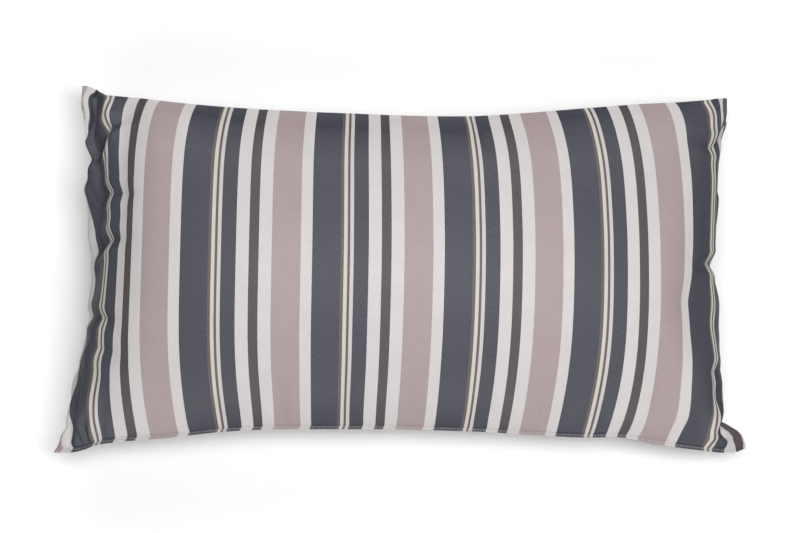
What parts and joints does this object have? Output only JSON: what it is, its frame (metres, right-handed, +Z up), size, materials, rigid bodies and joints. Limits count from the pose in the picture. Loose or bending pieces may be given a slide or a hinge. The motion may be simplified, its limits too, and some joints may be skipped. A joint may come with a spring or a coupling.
{
  "type": "outdoor throw pillow",
  "caption": "Oblong outdoor throw pillow with a striped woven cover, a filled crown, drawn-in sides, corner ears and an edge-stitched closing side, lying on its back.",
  "frame": {"origin": "centre of the footprint box, on the surface the pillow lies on", "axes": "+X along the pillow's long sides, +Y towards its top edge with the plain seam, +Z up out of the front panel"},
  "size_m": [0.576, 0.3121, 0.1349],
  "materials": {
    "striped_cloth": "matte woven polyester in slate, brown, taupe and white stripes"
  },
  "bodies": {
    "root": {"filled_cover": "striped_cloth"}
  },
  "joints": []
}
